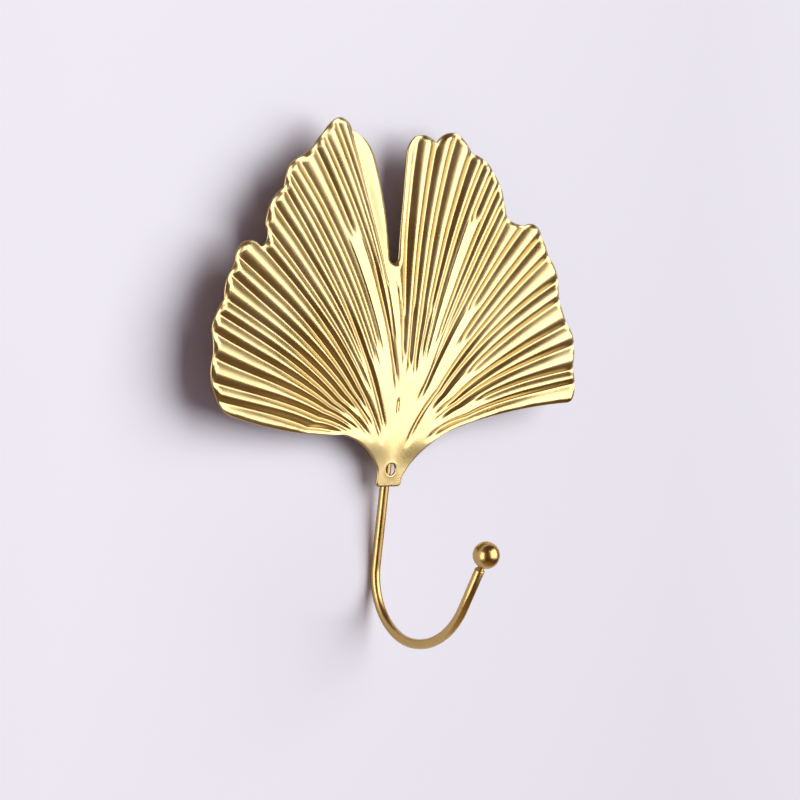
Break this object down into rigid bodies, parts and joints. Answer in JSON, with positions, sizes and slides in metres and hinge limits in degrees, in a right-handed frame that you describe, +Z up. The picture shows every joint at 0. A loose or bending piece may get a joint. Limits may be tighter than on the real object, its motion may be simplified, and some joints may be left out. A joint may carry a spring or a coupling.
{
  "type": "wall key holder",
  "caption": "Wall key holder: a pleated sheet leaf with a cleft fan, on a bent wire that hangs from an eye behind it and ends in an upturned hook with a ball tip.",
  "frame": {"origin": "middle of the hanging eye, on the plane of the wall", "axes": "+X to the right seen from the room, +Y into the wall, +Z up; the leaf's front and the hook face -Y"},
  "size_m": [0.1312, 0.0535, 0.1466],
  "materials": {
    "leaf_brass": "satin",
    "wire_brass": "satin",
    "ball_brass": "satin",
    "braze_brass": "dull"
  },
  "bodies": {
    "root": {"leaf": "leaf_brass", "hook_wire": "wire_brass", "ball_tip": "ball_brass", "braze": "braze_brass"}
  },
  "joints": []
}
